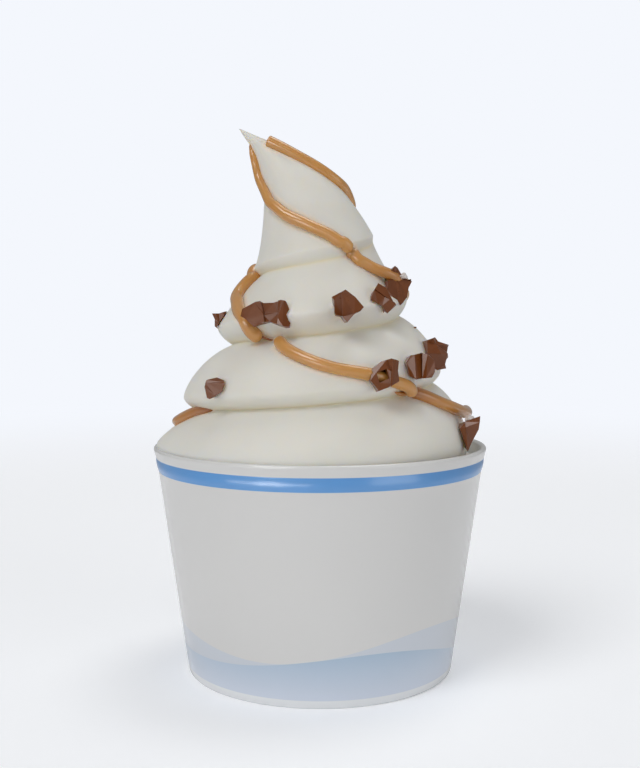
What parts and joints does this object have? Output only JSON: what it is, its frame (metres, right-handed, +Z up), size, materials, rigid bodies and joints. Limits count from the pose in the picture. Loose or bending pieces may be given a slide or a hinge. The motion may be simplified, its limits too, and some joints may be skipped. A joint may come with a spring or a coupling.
{
  "type": "frozen yogurt cup",
  "caption": "Tall soft-serve swirl with a leaning tip in a round paper cup, with a caramel drizzle and chocolate chunks.",
  "frame": {"origin": "centre of the round foot, on the surface that the cup stands on", "axes": "+Z is up along the cup's axis; -Y faces the viewer; +X is to the viewer's right; the swirl's tip leans towards -X"},
  "size_m": [0.0962, 0.0962, 0.1562],
  "materials": {
    "cup_card": "smooth coated white card with a blue band and two blue-grey waves",
    "yogurt": "soft satin cream-white frozen yogurt",
    "caramel": "glossy golden caramel",
    "chocolate": "satin milk chocolate with flat broken faces"
  },
  "bodies": {
    "root": {"cup_wall": "cup_card", "cup_base": "cup_card", "yogurt_swirl": "yogurt", "chocolate_chunk_1": "chocolate", "chocolate_chunk_2": "chocolate", "chocolate_chunk_3": "chocolate", "chocolate_chunk_4": "chocolate", "chocolate_chunk_5": "chocolate", "chocolate_chunk_6": "chocolate", "chocolate_chunk_7": "chocolate", "chocolate_chunk_8": "chocolate", "chocolate_chunk_9": "chocolate", "chocolate_chunk_10": "chocolate"}
  },
  "joints": []
}
